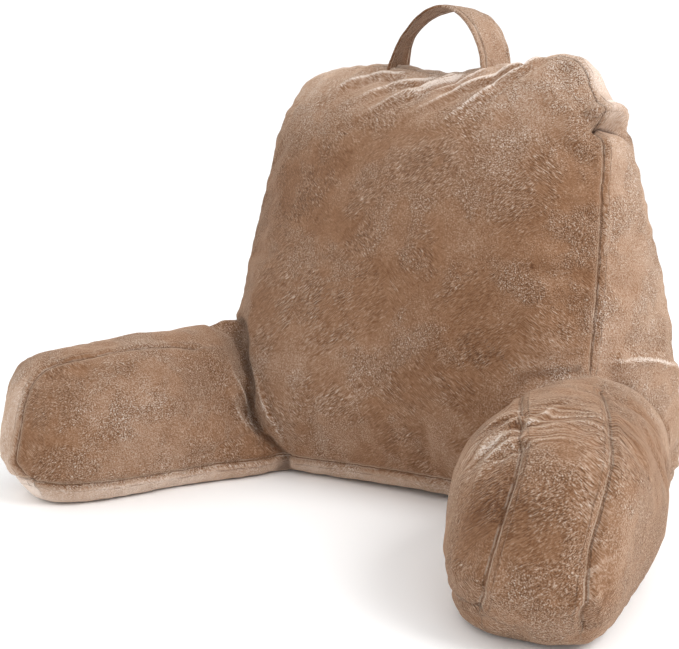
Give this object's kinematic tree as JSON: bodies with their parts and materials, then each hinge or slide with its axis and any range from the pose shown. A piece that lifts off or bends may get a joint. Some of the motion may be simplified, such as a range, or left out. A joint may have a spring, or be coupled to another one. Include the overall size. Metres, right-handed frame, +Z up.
{
  "type": "reading pillow with arms",
  "caption": "Soft filled backrest pillow with padded armrests splayed to each side and a strap handle on top.",
  "frame": {"origin": "on the floor, at the middle of the pillow's footprint", "axes": "+Z up, -Y the way the seat faces, +X across the pillow towards arm_right"},
  "size_m": [0.6923, 0.4546, 0.5057],
  "materials": {
    "plush": "short tan velour plush with a brushed, shaded nap",
    "strap": "flat strap covered in the same tan velour, topstitched along both edges"
  },
  "bodies": {
    "root": {"backrest": "plush", "arm_left": "plush", "arm_right": "plush", "handle": "strap"}
  },
  "joints": []
}
